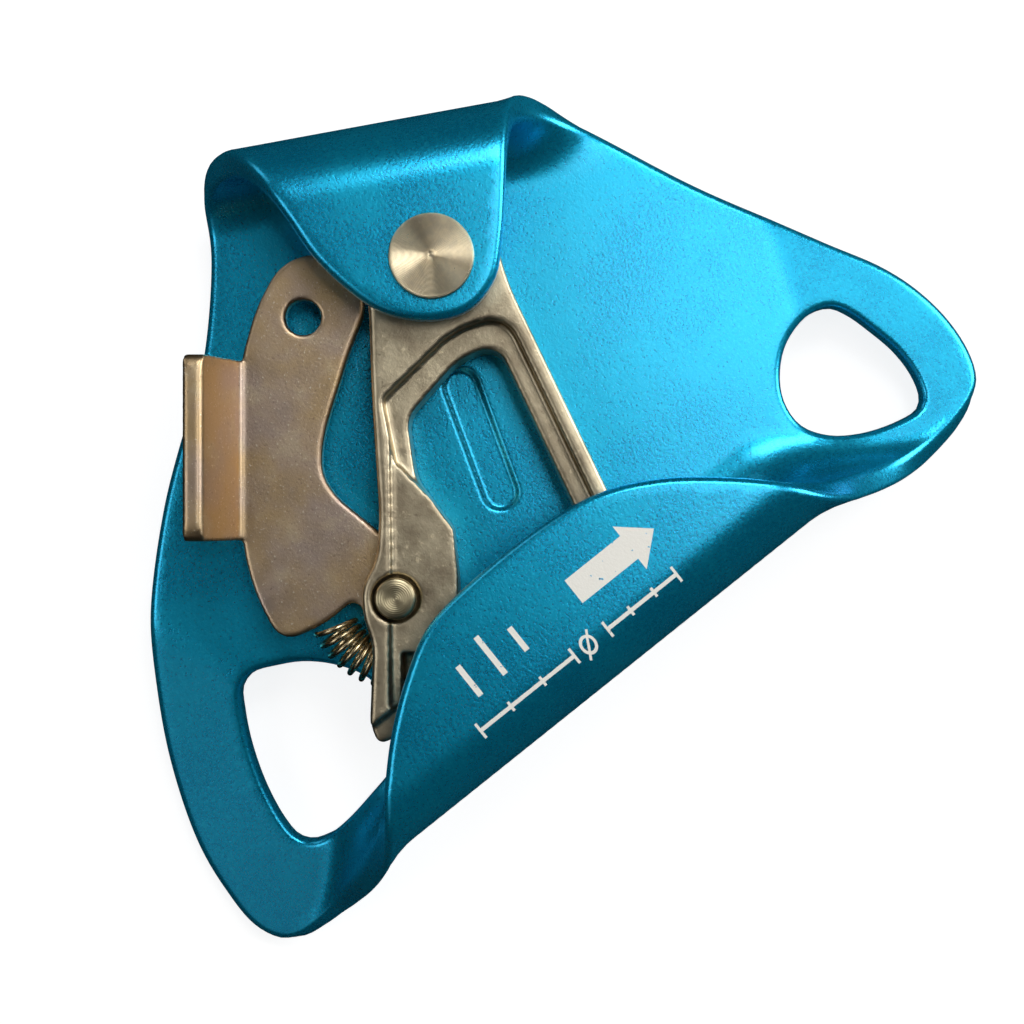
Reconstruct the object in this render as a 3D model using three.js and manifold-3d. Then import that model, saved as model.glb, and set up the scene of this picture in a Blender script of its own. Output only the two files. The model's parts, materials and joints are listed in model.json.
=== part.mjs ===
// Chest ascender for climbing ropes: a bent aluminium frame with a sprung toothed cam and its catch lever.
// Millimetres. The part lies on its back. +X points at the rope channel, +Y is the way up the rope,
// and +Z comes out of the front. Z is first measured from the underside of the flat web, and the
// finished group is moved so that the origin is at the centre of its base.
import * as THREE from "three";
import { mergeVertices } from "three/addons/utils/BufferGeometryUtils.js";
import Module from "manifold-3d";

const wasm = await Module();
wasm.setup();

// ---- driving dimensions ----
const ORIGIN = [-17.05, -0.1, -4.93]; // centre of the base, seen from the web's frame

const PLATE = 4; // thickness of the frame's sheet
const EDGE_ROUND = 1.1; // softened edge all round the sheet
const HOLE_EDGE = 0.3; // small break at the axle holes
const EDGE_LIMIT = { rim: 3.6, rolled: 4.6, eyelets: 8, web: 14 }; // fineness of the frame's mesh

const CHANNEL_START = 12.4; // X where the rope channel begins to roll up
const CHANNEL_BACK_R = 13.2; // middle of the sheet, first quarter turn
const CHANNEL_FRONT_R = 5.8; // middle of the sheet, second quarter turn
const CHANNEL_END = { low: [40, 64], high: [32, 58], shift: 16.3, tighter: 7.2 }; // towards -Y and +Y

const FORK_ALONG = [0.4739, 0.8806]; // direction of the fork's fold
const FORK_OUT = [-0.8806, 0.4739]; // direction from the web towards the fold
const FORK_START = 47.2; // distance out where the fold begins
const FORK_R = 9.5; // middle of the sheet
const FORK_FADE = [9, 27]; // distance along the fold over which it dies away

const LOBE_BEND_R = 20; // gentle backward bends of the two eyelets
const HIGH_LOBE = { dir: [0.356, 0.934], start: 47.8, slope: 0.176 };
const LOW_LOBE = { dir: [0.398, -0.917], start: 37.6, slope: 0.2126 };
const LOW_LOBE_LEVEL = 43; // under the channel the low bend turns level, at this -Y

const POCKET = { ends: [[-19.4, 5.8], [-3.4, 0.5]], half: 2.9, floor: 2.2, depth: 0.7 };

const PIVOT = [-34.6, 13.4]; // cam axle
const CATCH = [-0.7, -20.5]; // catch pin
const CLEAR = 0.3; // running gap between pieces

const CAM_Z = [5.4, 17.5];
const CAM_LEDGE_Z = 14.5;
const CAM_BLOCK_Z = 16.7;
const CAM_BAR_Z = 12.9;
const CAM_BORE_R = 4.9;
const RIM_Z = [7, 16]; // the toothed rim is narrower than the cheeks
const RIM_FACE = { x: 17.4, y: -11, curve: 0.0075 };
const CHEEK_X = 11.4; // the cheeks end here, and only the rim goes on
const TOOTH = { count: 10, from: -29, pitch: 3.4, rows: [-2.6, 0, 2.6], radius: 0.95, height: 2.3 };
const TOOTH_STAND = 0.1; // middle of a tooth's cone, out from the face
const CAM_EDGE = 0.4; // chamfer of the casting
const SPRING_WELL = { inner: 5.8, outer: 8.9, top: 9.6 };
const PIN_SINK = { radius: 3.4, from: 16.1 };
const CATCH_BAR = [5.4, 9.4]; // below the pin the casting is lower here
const CATCH_GAP = [9.4, 12.6]; // and open here
const CORD_HOLE = { at: [-40.9, -6], radius: 2.6 };
const HIGH = 30; // above everything
const LEVER_Z = [9.2, 12.1];
const CATCH_COIL = { z: (LEVER_Z[0] + LEVER_Z[1]) / 2, major: 10.2, minor: 3, wire: 0.4 };
const AXLE_R = 3.5;
const AXLE_HOLE_R = 3.8;
const PIN_R = 2;

// ---- small helpers ----
const V2 = (p) => new THREE.Vector2(p[0], p[1]);
const dot = (p, dir) => p[0] * dir[0] + p[1] * dir[1];
const onFork = (along, out) => [
  along * FORK_ALONG[0] + out * FORK_OUT[0],
  along * FORK_ALONG[1] + out * FORK_OUT[1],
];

function easeStep(x, from, to) {
  return THREE.MathUtils.smoothstep(x, from, to);
}

function solid(geometry) {
  const bare = geometry.clone();
  bare.deleteAttribute("normal");
  bare.deleteAttribute("uv");
  const merged = mergeVertices(bare, 1e-4);
  return new wasm.Manifold(
    new wasm.Mesh({
      numProp: 3,
      vertProperties: merged.attributes.position.array,
      triVerts: new Uint32Array(merged.index.array),
    }),
  );
}

function geometryOf(shape) {
  const mesh = shape.getMesh();
  const geometry = new THREE.BufferGeometry();
  geometry.setAttribute("position", new THREE.BufferAttribute(new Float32Array(mesh.vertProperties), 3));
  geometry.setIndex(new THREE.BufferAttribute(new Uint32Array(mesh.triVerts), 1));
  return geometry;
}

// A prism between two heights, with an optional chamfer on its upper and lower rims.
function prism(shape, low, high, chamfer = 0, curveSegments = 8) {
  const geometry = new THREE.ExtrudeGeometry(shape, {
    depth: high - low - 2 * chamfer,
    bevelEnabled: chamfer > 0,
    bevelThickness: chamfer,
    bevelSize: chamfer,
    bevelOffset: -chamfer,
    bevelSegments: 1,
    curveSegments,
  });
  geometry.translate(0, 0, low + chamfer);
  return solid(geometry);
}

// A polygon whose corners are eased: each corner is [x, y, how far the easing reaches].
function easedShape(corners) {
  const shape = new THREE.Shape();
  corners.forEach((corner, i) => {
    const here = V2(corner);
    const before = V2(corners[(i + corners.length - 1) % corners.length]).sub(here);
    const after = V2(corners[(i + 1) % corners.length]).sub(here);
    const reach = corner[2] ?? 0;
    const start = here.clone().add(before.setLength(Math.min(reach, before.length() / 2)));
    const end = here.clone().add(after.setLength(Math.min(reach, after.length() / 2)));
    if (i === 0) shape.moveTo(start.x, start.y);
    else shape.lineTo(start.x, start.y);
    if (reach > 0) shape.quadraticCurveTo(here.x, here.y, end.x, end.y);
  });
  return shape;
}

function disc(centre, radius) {
  return new THREE.Shape().absarc(centre[0], centre[1], radius, 0, 2 * Math.PI);
}

function cylinder(centre, radius, low, high, segments = 40) {
  const geometry = new THREE.CylinderGeometry(radius, radius, high - low, segments);
  geometry.rotateX(Math.PI / 2);
  geometry.translate(centre[0], centre[1], (low + high) / 2);
  return solid(geometry);
}

// A turned piece from [radius, z] points that start and end on the axis, given from the bottom up.
function turned(centre, profile, segments = 40) {
  const geometry = new THREE.LatheGeometry(profile.map(V2), segments);
  geometry.rotateX(Math.PI / 2);
  geometry.translate(centre[0], centre[1], 0);
  return solid(geometry);
}

// A round wire along a curve, closed at both ends.
function wire(curve, steps, radius, sides = 6) {
  const frames = curve.computeFrenetFrames(steps, false);
  const points = [];
  const faces = [];
  for (let i = 0; i <= steps; i += 1) {
    const centre = curve.getPoint(i / steps);
    for (let k = 0; k < sides; k += 1) {
      const angle = (2 * Math.PI * k) / sides;
      points.push(
        centre
          .clone()
          .addScaledVector(frames.normals[i], radius * Math.cos(angle))
          .addScaledVector(frames.binormals[i], radius * Math.sin(angle)),
      );
    }
  }
  for (let i = 0; i < steps; i += 1) {
    for (let k = 0; k < sides; k += 1) {
      const a = i * sides + k;
      const b = i * sides + ((k + 1) % sides);
      faces.push(a, b, b + sides, a, b + sides, a + sides);
    }
  }
  const first = points.length;
  points.push(curve.getPoint(0), curve.getPoint(1));
  for (let k = 0; k < sides; k += 1) {
    const next = (k + 1) % sides;
    faces.push(first, next, k, first + 1, steps * sides + k, steps * sides + next);
  }
  const geometry = new THREE.BufferGeometry().setFromPoints(points);
  geometry.setIndex(faces);
  return solid(geometry);
}

// ---- the frame: a flat blank, cut out and then bent ----

// Follows a centre line made of arcs [length, curvature] for a distance, then goes straight on.
function follow(distance, arcs) {
  let x = 0;
  let z = 0;
  let angle = 0;
  let left = distance;
  for (const [length, curvature] of arcs) {
    const part = Math.min(left, length);
    const turn = angle + part * curvature;
    if (Math.abs(curvature) < 1e-6) {
      x += part * Math.cos(angle);
      z += part * Math.sin(angle);
    } else {
      x += (Math.sin(turn) - Math.sin(angle)) / curvature;
      z += (Math.cos(angle) - Math.cos(turn)) / curvature;
    }
    angle = turn;
    left -= part;
  }
  return { x: x + left * Math.cos(angle), z: z + left * Math.sin(angle), angle };
}

// How far an eyelet has dropped at a distance beyond its bend.
function lobeDrop(distance, slope) {
  const d = Math.max(distance, 0);
  const curved = slope * LOBE_BEND_R;
  return d < curved ? (d * d) / (2 * LOBE_BEND_R) : slope * (d - curved / 2);
}

function softMin(a, b, width) {
  const h = THREE.MathUtils.clamp(0.5 + (0.5 * (b - a)) / width, 0, 1);
  return THREE.MathUtils.lerp(b, a, h) - width * h * (1 - h);
}

// How deep the pressed pocket is at a place on the blank.
function pocketDepth(p) {
  const [a, b] = POCKET.ends.map(V2);
  const onAxis = new THREE.Line3(
    new THREE.Vector3(a.x, a.y, 0),
    new THREE.Vector3(b.x, b.y, 0),
  ).closestPointToPoint(new THREE.Vector3(p[0], p[1], 0), true, new THREE.Vector3());
  const distance = Math.hypot(p[0] - onAxis.x, p[1] - onAxis.y);
  return POCKET.depth * (1 - easeStep(distance, POCKET.floor, POCKET.half));
}

// Bends one point of the blank: x and y on the sheet, z through its thickness.
function bend([x, y, z]) {
  const middle = PLATE / 2;
  const off = z - middle;
  const low = softMin(dot([x, y], LOW_LOBE.dir) - LOW_LOBE.start, -y - LOW_LOBE_LEVEL, 4);
  const high = dot([x, y], HIGH_LOBE.dir) - HIGH_LOBE.start;
  const drop = lobeDrop(low, LOW_LOBE.slope) + lobeDrop(high, HIGH_LOBE.slope);
  const out = dot([x, y], FORK_OUT) - FORK_START;
  if (out > 0) {
    const along = dot([x, y], FORK_ALONG);
    const strength = 1 - easeStep(along, ...FORK_FADE);
    const at = follow(out, [[Math.PI * FORK_R, strength / FORK_R]]);
    const [bx, by] = onFork(along, FORK_START + at.x - off * Math.sin(at.angle));
    return [bx, by, middle + at.z + off * Math.cos(at.angle) - drop];
  }
  // The channel's roll starts further out, and gets tighter, towards both ends.
  const ending = easeStep(y, ...CHANNEL_END.high) + easeStep(-y, ...CHANNEL_END.low);
  const start = CHANNEL_START + CHANNEL_END.shift * ending;
  if (x > start) {
    const backRadius = CHANNEL_BACK_R - CHANNEL_END.tighter * ending;
    const at = follow(x - start, [
      [(Math.PI / 2) * backRadius, 1 / backRadius],
      [(Math.PI / 2) * CHANNEL_FRONT_R, 1 / CHANNEL_FRONT_R],
    ]);
    const bx = start + at.x - off * Math.sin(at.angle);
    return [bx, y, middle + at.z + off * Math.cos(at.angle) - drop];
  }
  return [x, y, z - drop - pocketDepth([x, y])];
}

// Longest edge allowed on the blank near a place: short where it will be bent.
function edgeLimit([x, y]) {
  const out = dot([x, y], FORK_OUT) - FORK_START;
  if (out > -1 && out < Math.PI * FORK_R + 1) return EDGE_LIMIT.rolled;
  const over = x - CHANNEL_START;
  const rolled = (Math.PI / 2) * (CHANNEL_BACK_R + CHANNEL_FRONT_R);
  if (over > -1 && over < rolled + 1) return EDGE_LIMIT.rolled;
  return Math.abs(y) > 36 ? EDGE_LIMIT.eyelets : EDGE_LIMIT.web;
}

// A closed smooth loop through its points, sampled at an even spacing.
function smoothLoop(points, spacing) {
  const curve = new THREE.CatmullRomCurve3(
    points.map((p) => new THREE.Vector3(p[0], p[1], 0)),
    true,
    "centripetal",
  );
  const count = Math.round(curve.getLength() / spacing);
  return curve.getSpacedPoints(count).slice(0, count).map((p) => [p.x, p.y]);
}

// Moves a loop to its left by a distance: inwards for the outline, outwards for a hole.
function leftOf(loop, distance) {
  return loop.map((p, i) => {
    const before = loop[(i + loop.length - 1) % loop.length];
    const after = loop[(i + 1) % loop.length];
    const along = V2(after).sub(V2(before)).normalize();
    return [p[0] - along.y * distance, p[1] + along.x * distance];
  });
}

// A flat mesh of the blank that is made finer until no edge is over the limit.
class Sheet {
  constructor() {
    this.points = [];
    this.ids = new Map();
    this.triangles = [];
    this.fixed = new Set();
  }

  key(a, b) {
    return a < b ? `${a}_${b}` : `${b}_${a}`;
  }

  id(p) {
    const name = `${p[0].toFixed(6)},${p[1].toFixed(6)}`;
    if (!this.ids.has(name)) {
      this.ids.set(name, this.points.length);
      this.points.push(p);
    }
    return this.ids.get(name);
  }

  addRegion(outer, holes) {
    const loops = [outer, ...holes];
    const ids = loops.flat().map((p) => this.id(p));
    for (const loop of loops) {
      loop.forEach((p, i) => this.fixed.add(this.key(this.id(p), this.id(loop[(i + 1) % loop.length]))));
    }
    const faces = THREE.ShapeUtils.triangulateShape(outer.map(V2), holes.map((hole) => hole.map(V2)));
    for (const face of faces) {
      const [a, b, c] = face.map((i) => ids[i]);
      this.triangles.push(this.turn(a, b, c) > 0 ? [a, b, c] : [a, c, b]);
    }
  }

  turn(a, b, c) {
    const [p, q, r] = [this.points[a], this.points[b], this.points[c]];
    return (q[0] - p[0]) * (r[1] - p[1]) - (q[1] - p[1]) * (r[0] - p[0]);
  }

  // The sum of the two angles opposite an edge says whether the edge should be flipped.
  angleAt(tip, a, b) {
    const u = V2(this.points[a]).sub(V2(this.points[tip]));
    const v = V2(this.points[b]).sub(V2(this.points[tip]));
    return Math.abs(Math.atan2(u.cross(v), u.dot(v)));
  }

  sides() {
    const map = new Map();
    this.triangles.forEach((t, index) => {
      for (let k = 0; k < 3; k += 1) {
        const key = this.key(t[k], t[(k + 1) % 3]);
        if (!map.has(key)) map.set(key, []);
        map.get(key).push([index, k]);
      }
    });
    return map;
  }

  improve() {
    for (let round = 0; round < 60; round += 1) {
      const touched = new Set();
      let flips = 0;
      for (const [key, pair] of this.sides()) {
        if (pair.length < 2 || this.fixed.has(key)) continue;
        const [[i, k], [j, m]] = pair;
        if (touched.has(i) || touched.has(j)) continue;
        const [a, b] = [this.triangles[i][k], this.triangles[i][(k + 1) % 3]];
        const c = this.triangles[i][(k + 2) % 3];
        const d = this.triangles[j][(m + 2) % 3];
        if (this.angleAt(c, a, b) + this.angleAt(d, a, b) < Math.PI + 1e-6) continue;
        if (this.turn(a, d, c) < 1e-6 || this.turn(d, b, c) < 1e-6) continue;
        this.triangles[i] = [a, d, c];
        this.triangles[j] = [d, b, c];
        touched.add(i).add(j);
        flips += 1;
      }
      if (flips === 0) return;
    }
  }

  refine(limit) {
    for (let round = 0; round < 12; round += 1) {
      const middles = new Map();
      for (const [key] of this.sides()) {
        const [a, b] = key.split("_").map(Number);
        const [p, q] = [this.points[a], this.points[b]];
        const middle = [(p[0] + q[0]) / 2, (p[1] + q[1]) / 2];
        if (Math.hypot(p[0] - q[0], p[1] - q[1]) <= limit(middle)) continue;
        middles.set(key, this.id(middle));
        if (this.fixed.delete(key)) {
          this.fixed.add(this.key(a, middles.get(key)));
          this.fixed.add(this.key(b, middles.get(key)));
        }
      }
      if (middles.size === 0) return;
      this.triangles = this.triangles.flatMap((t) => this.split(t, middles));
      this.improve();
    }
  }

  split([a, b, c], middles) {
    const [ab, bc, ca] = [[a, b], [b, c], [c, a]].map(([p, q]) => middles.get(this.key(p, q)));
    const cuts = [ab, bc, ca].filter((m) => m !== undefined).length;
    if (cuts === 0) return [[a, b, c]];
    if (cuts === 3) return [[a, ab, ca], [ab, b, bc], [ca, bc, c], [ab, bc, ca]];
    if (ab === undefined) return this.split([b, c, a], middles);
    if (cuts === 1) return [[a, ab, c], [ab, b, c]];
    if (bc === undefined) return [[a, ab, ca], [ab, b, c], [ab, c, ca]];
    return [[a, ab, c], [ab, bc, c], [ab, b, bc]];
  }

  // The rims as chains of [from, to], each with the sheet on its left.
  rims() {
    const next = new Map();
    for (const [, pair] of this.sides()) {
      if (pair.length > 1) continue;
      const [index, k] = pair[0];
      next.set(this.triangles[index][k], this.triangles[index][(k + 1) % 3]);
    }
    const loops = [];
    while (next.size > 0) {
      const loop = [];
      let here = next.keys().next().value;
      while (next.has(here)) {
        loop.push(here);
        const following = next.get(here);
        next.delete(here);
        here = following;
      }
      loops.push(loop);
    }
    return loops;
  }
}

// The blank's outline, anticlockwise. It starts at the foot of the channel wall.
const OUTLINE = [
  [30.6, -65.2], [31, -61], [31, -57.4], [31.6, -53.4], [33.2, -49.4], [35.8, -45.4],
  [39.3, -41.4], [42.7, -38.2], [48.2, -32.6], [53.2, -26], [56.8, -19.4], [58, -11],
  [58, 2], [56.6, 11], [52.8, 19], [46.4, 27.2], [41, 32.8], [37.4, 36.8],
  [35, 40.6], [33.9, 44], [33.3, 47.3], [33, 50.4], [32.8, 53.6], [32.5, 57.2],
  [31.9, 61], [30.6, 65], [28.4, 67.8], [24.8, 69.4], [18.8, 70], [12, 69],
  [6, 66.8], [-2.7, 61.8], [-20, 52.3], [-35.6, 45.4],
  onFork(16.9, 57.8), onFork(13, 62), onFork(10.4, 67), onFork(8.4, 74.5), onFork(5.5, 86.7),
  onFork(3.3, 92.2), onFork(-0.7, 95.5), onFork(-6.4, 96), onFork(-13.1, 93.4), onFork(-20.1, 85.5),
  onFork(-23.5, 78.4), onFork(-26, 73.6), onFork(-28.6, 69.2), onFork(-31.6, 64.2),
  onFork(-34.8, 59.6), onFork(-36.6, 55), onFork(-37.5, 45.3),
  [-48.3, -20.1], [-43.3, -26], [-39.4, -31.9], [-32.8, -40.6], [-22.3, -51.5],
  [-13.7, -57.8], [-2.9, -64.1], [9.4, -68.9], [17.7, -70.2], [24.6, -70.1], [28.6, -68.2],
];

// The two eyelets, clockwise.
const LOW_EYELET = [
  [-2.1, -50], [-4.8, -48], [-5.5, -45.4], [-4, -41.7], [-2, -38.3], [1.4, -34.9],
  [5.8, -32.4], [11.9, -32.1], [17, -34.5], [19.8, -38.4], [20.9, -43.2], [21.1, -47.4],
  [20.8, -51.2], [19.9, -54.3], [18.1, -55.8], [15, -56], [9, -54.9], [2.7, -52.6],
];
const HIGH_EYELET = [
  [12.5, 42.2], [8.8, 44.4], [5.9, 48], [4.7, 53], [5.9, 56.6], [8.4, 58.2],
  [12.6, 59.5], [17.4, 60.5], [21.8, 60.4], [25.1, 59.3], [26.2, 57.8], [25.8, 54.4],
  [23.9, 49.1], [20.9, 44.4], [16.8, 41.9],
];

function roundHole(centre, radius, count) {
  const points = [];
  for (let i = 0; i < count; i += 1) {
    const angle = (-2 * Math.PI * i) / count;
    points.push([centre[0] + radius * Math.cos(angle), centre[1] + radius * Math.sin(angle)]);
  }
  return points;
}

// A stadium-shaped loop round the pocket's axis, anticlockwise.
function pocketLoop(radius, count) {
  const [a, b] = POCKET.ends;
  const heading = Math.atan2(b[1] - a[1], b[0] - a[0]);
  const points = [];
  for (const [end, from] of [[b, heading - Math.PI / 2], [a, heading + Math.PI / 2]]) {
    for (let i = 0; i <= count; i += 1) {
      const angle = from + (Math.PI * i) / count;
      points.push([end[0] + radius * Math.cos(angle), end[1] + radius * Math.sin(angle)]);
    }
  }
  return points;
}

function makeFrame() {
  const insets = [
    { loop: smoothLoop(OUTLINE, EDGE_LIMIT.rim), round: EDGE_ROUND },
    { loop: smoothLoop(LOW_EYELET, EDGE_LIMIT.rim), round: EDGE_ROUND },
    { loop: smoothLoop(HIGH_EYELET, EDGE_LIMIT.rim), round: EDGE_ROUND },
    { loop: roundHole(PIVOT, AXLE_HOLE_R, 24), round: HOLE_EDGE },
    { loop: roundHole(tongueHole(), AXLE_HOLE_R, 24), round: HOLE_EDGE },
  ].map(({ loop, round }) => ({ loop: leftOf(loop, round), round }));
  const [outer, ...holes] = insets.map(({ loop }) => loop);
  const slopes = [POCKET.half, (POCKET.half + POCKET.floor) / 2, POCKET.floor].map((r) => pocketLoop(r, 6));
  const sheet = new Sheet();
  sheet.addRegion(outer, [...holes, slopes[0]]);
  sheet.addRegion(slopes[0], [slopes[1]]);
  sheet.addRegion(slopes[1], [slopes[2]]);
  sheet.addRegion(slopes[2], []);
  sheet.improve();
  sheet.refine(edgeLimit);

  const points = [];
  const faces = [];
  const place = (p) => points.push(new THREE.Vector3(...bend(p))) - 1;
  const top = sheet.points.map(([x, y]) => place([x, y, PLATE]));
  const bottom = sheet.points.map(([x, y]) => place([x, y, 0]));
  for (const [a, b, c] of sheet.triangles) {
    faces.push(top[a], top[b], top[c], bottom[a], bottom[c], bottom[b]);
  }
  for (const rim of sheet.rims()) {
    const { round } = insets.find(({ loop }) => rim.includes(sheet.id(loop[0])));
    const flat = rim.map((i) => sheet.points[i]);
    const steps = round === HOLE_EDGE ? [0] : [Math.PI / 4, 0];
    const rings = [
      rim.map((i) => top[i]),
      ...steps.map((angle) => rimRing(flat, round, PLATE - round, angle).map(place)),
      ...steps.map((angle) => rimRing(flat, round, round, -angle).map(place)).reverse(),
      rim.map((i) => bottom[i]),
    ];
    for (let r = 0; r + 1 < rings.length; r += 1) {
      rim.forEach((_, i) => {
        const j = (i + 1) % rim.length;
        const [a, b] = [rings[r][i], rings[r][j]];
        const [c, d] = [rings[r + 1][i], rings[r + 1][j]];
        faces.push(a, c, d, a, d, b);
      });
    }
  }
  const geometry = new THREE.BufferGeometry().setFromPoints(points);
  geometry.setIndex(faces);
  return solid(geometry);
}

// One ring of a rounded rim: its arc is centred at a level of the sheet, on the inset loop.
function rimRing(flat, round, level, angle) {
  const z = level + round * Math.sin(angle);
  return leftOf(flat, -round * Math.cos(angle)).map(([x, y]) => [x, y, z]);
}

// Where the axle's hole lies on the unbent tongue.
function tongueHole() {
  const out = dot(PIVOT, FORK_OUT);
  return onFork(dot(PIVOT, FORK_ALONG), 2 * FORK_START + Math.PI * FORK_R - out);
}

// ---- the cam ----
const CAM_OUTLINE = [
  [-26.6, 20.1, 4], [14.8, 10.5, 2], [16.6, 2, 4], [17.6, -8, 4], [17.3, -18, 4], [15.8, -27, 3],
  [14.2, -35.6, 1.6], [11.2, -34.8, 1.5], [2.2, -27, 2], [-1.5, -25.9, 2], [-5.2, -23.2, 2],
  [-6.6, -19.4, 2], [-10.8, -15.4, 3], [-25.4, -5.2, 5], [-36, 2.8, 3], [-42.6, 5.8, 5],
  [-45.3, 13.4, 5], [-41.9, 21, 5], [-34.6, 24, 5],
];
const CAM_FACE = [
  [-23.4, -3.6, 2], [-25.4, 9.5, 3], [-22.6, 16.9, 4], [4.5, 10.6, 1], [12, 8.8, 2],
  [13.5, -6, 3], [13, -24, 2], [11.2, -31, 1], [2.8, -24.4, 1.5], [-4.4, -18.4, 2],
];
const CAM_WINDOW = [
  [-20, -3.3, 2], [-22, 8, 3], [-20, 13.4, 3], [9.6, 6.4, 2], [10.6, -8, 2], [7.5, -15.6, 1],
  [2.2, -11.6, 0.5], [-3.4, -8, 0.5], [-12.4, -7.8, 1.5],
];
// Outside this the recess stops at the block's level, inside it goes down to the ledge.
const CAM_LEDGE = [
  [-24, -4.4, 1], [-25.4, 9.5, 3], [-22.6, 16.9, 4], [4.5, 10.6, 1], [12, 8.8, 2],
  [13.5, -6, 3], [12.5, -14, 1], [9.5, -17.2, 1], [-3.2, -7.2, 0.5], [-15.9, -8.6, 0.5],
];
const LEVER_SLOT = [
  [-32, -17, 0], [-12, -16.2, 1], [-3.6, -14.6, 2], [2.6, -15.4, 2], [5, -19.5, 2], [4.4, -24, 2],
  [0, -27.4, 2], [-9, -42, 0], [-32, -42, 0],
];

// A strip across the foot of the rib, measured down from the catch pin.
function catchStrip([from, to]) {
  const across = [0.62, 0.785];
  const down = [0.785, -0.62];
  const base = [CATCH[0] + 2.2, CATCH[1] - 1];
  const corner = (s, t) => [base[0] + across[0] * s + down[0] * t, base[1] + across[1] * s + down[1] * t];
  const [near, far] = [0.2, 6.5];
  return easedShape([corner(near, from), corner(far, from), corner(far, to), corner(near, to)]);
}

function makeCam() {
  const cheek = easedShape([[CHEEK_X, -50], [40, -50], [40, 40], [CHEEK_X, 40]]);
  const cuts = [
    prism(easedShape(CAM_FACE), CAM_BLOCK_Z, HIGH),
    prism(easedShape(CAM_LEDGE), CAM_LEDGE_Z, HIGH),
    prism(easedShape(CAM_WINDOW), 0, HIGH),
    prism(catchStrip(CATCH_BAR), CAM_BAR_Z, HIGH),
    prism(catchStrip(CATCH_GAP), 0, HIGH),
    prism(easedShape(LEVER_SLOT), LEVER_Z[0] - CLEAR, LEVER_Z[1] + CLEAR),
    cylinder(PIVOT, CAM_BORE_R, 0, HIGH),
    cylinder(PIVOT, SPRING_WELL.outer, 0, SPRING_WELL.top).subtract(
      cylinder(PIVOT, SPRING_WELL.inner, 0, SPRING_WELL.top),
    ),
    cylinder(CATCH, PIN_R + CLEAR, 0, HIGH, 28),
    cylinder(CATCH, PIN_SINK.radius, PIN_SINK.from, HIGH, 28),
    catchSpringWell(),
    prism(cheek, 0, RIM_Z[0]),
    prism(cheek, RIM_Z[1], HIGH),
  ];
  let cam = prism(easedShape(CAM_OUTLINE), CAM_Z[0], CAM_Z[1], CAM_EDGE);
  for (const cut of cuts) cam = cam.subtract(cut);
  for (let i = 0; i < TOOTH.count; i += 1) {
    for (const row of TOOTH.rows) {
      const y = TOOTH.from + i * TOOTH.pitch + (row === 0 ? TOOTH.pitch / 2 : 0);
      cam = cam.add(tooth(y, (RIM_Z[0] + RIM_Z[1]) / 2 + row));
    }
  }
  return cam;
}

// A small cone that leans down the rope.
function tooth(y, z) {
  const lean = new THREE.Vector3(1, -0.35, 0).normalize();
  const cone = new THREE.ConeGeometry(TOOTH.radius, TOOTH.height, 6);
  cone.applyQuaternion(new THREE.Quaternion().setFromUnitVectors(new THREE.Vector3(0, 1, 0), lean));
  cone.translate(rimFace(y) + TOOTH_STAND, y, z);
  return solid(cone);
}

// X of the toothed face at a height up the rope.
function rimFace(y) {
  return RIM_FACE.x - RIM_FACE.curve * (y - RIM_FACE.y) ** 2;
}

// Room behind the rib for the outer end of the catch spring.
function catchSpringWell() {
  const room = new THREE.Shape();
  const [from, to] = [283, 312].map(THREE.MathUtils.degToRad);
  const reach = CATCH_COIL.minor + CATCH_COIL.wire + 0.7;
  room.absarc(CATCH[0], CATCH[1], CATCH_COIL.major + reach, from, to, false);
  room.absarc(CATCH[0], CATCH[1], CATCH_COIL.major - reach + 0.2, to, from, true);
  return prism(room, CATCH_COIL.z - reach, CATCH_COIL.z + reach);
}

// ---- the catch lever ----
const TAB = { out: -39.6, from: -4.6, to: 22.4, top: 23.4, flare: 0.28 };
const SIDE = [0.625, 0.781]; // across the tab
const RISE = [-0.781, 0.625]; // along the tab
const onTab = (side, rise) => [side * SIDE[0] + rise * RISE[0], side * SIDE[1] + rise * RISE[1]];
const LEVER_OUTLINE = [
  [...onTab(TAB.out + 0.5, TAB.from), 3], [-14, -36.6, 6], [-6, -38, 3.5], [-4.3, -31.5, 2.5],
  [-4.4, -25.4, 2], [0.8, -26.3, 3.4], [5, -21.6, 3.6], [2.4, -15.4, 3.8], [-4.6, -16, 2.4], [-11, -17.1, 3],
  [-20, -19, 4.5], [-25, -15.4, 4], [-33.2, -3.4, 3], [-37, 3.4, 4.4], [-45.4, 3.6, 5], [-49.4, -3, 5],
  [-46.3, -10.4, 3], [...onTab(TAB.out + 0.5, TAB.to), 2],
];

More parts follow.
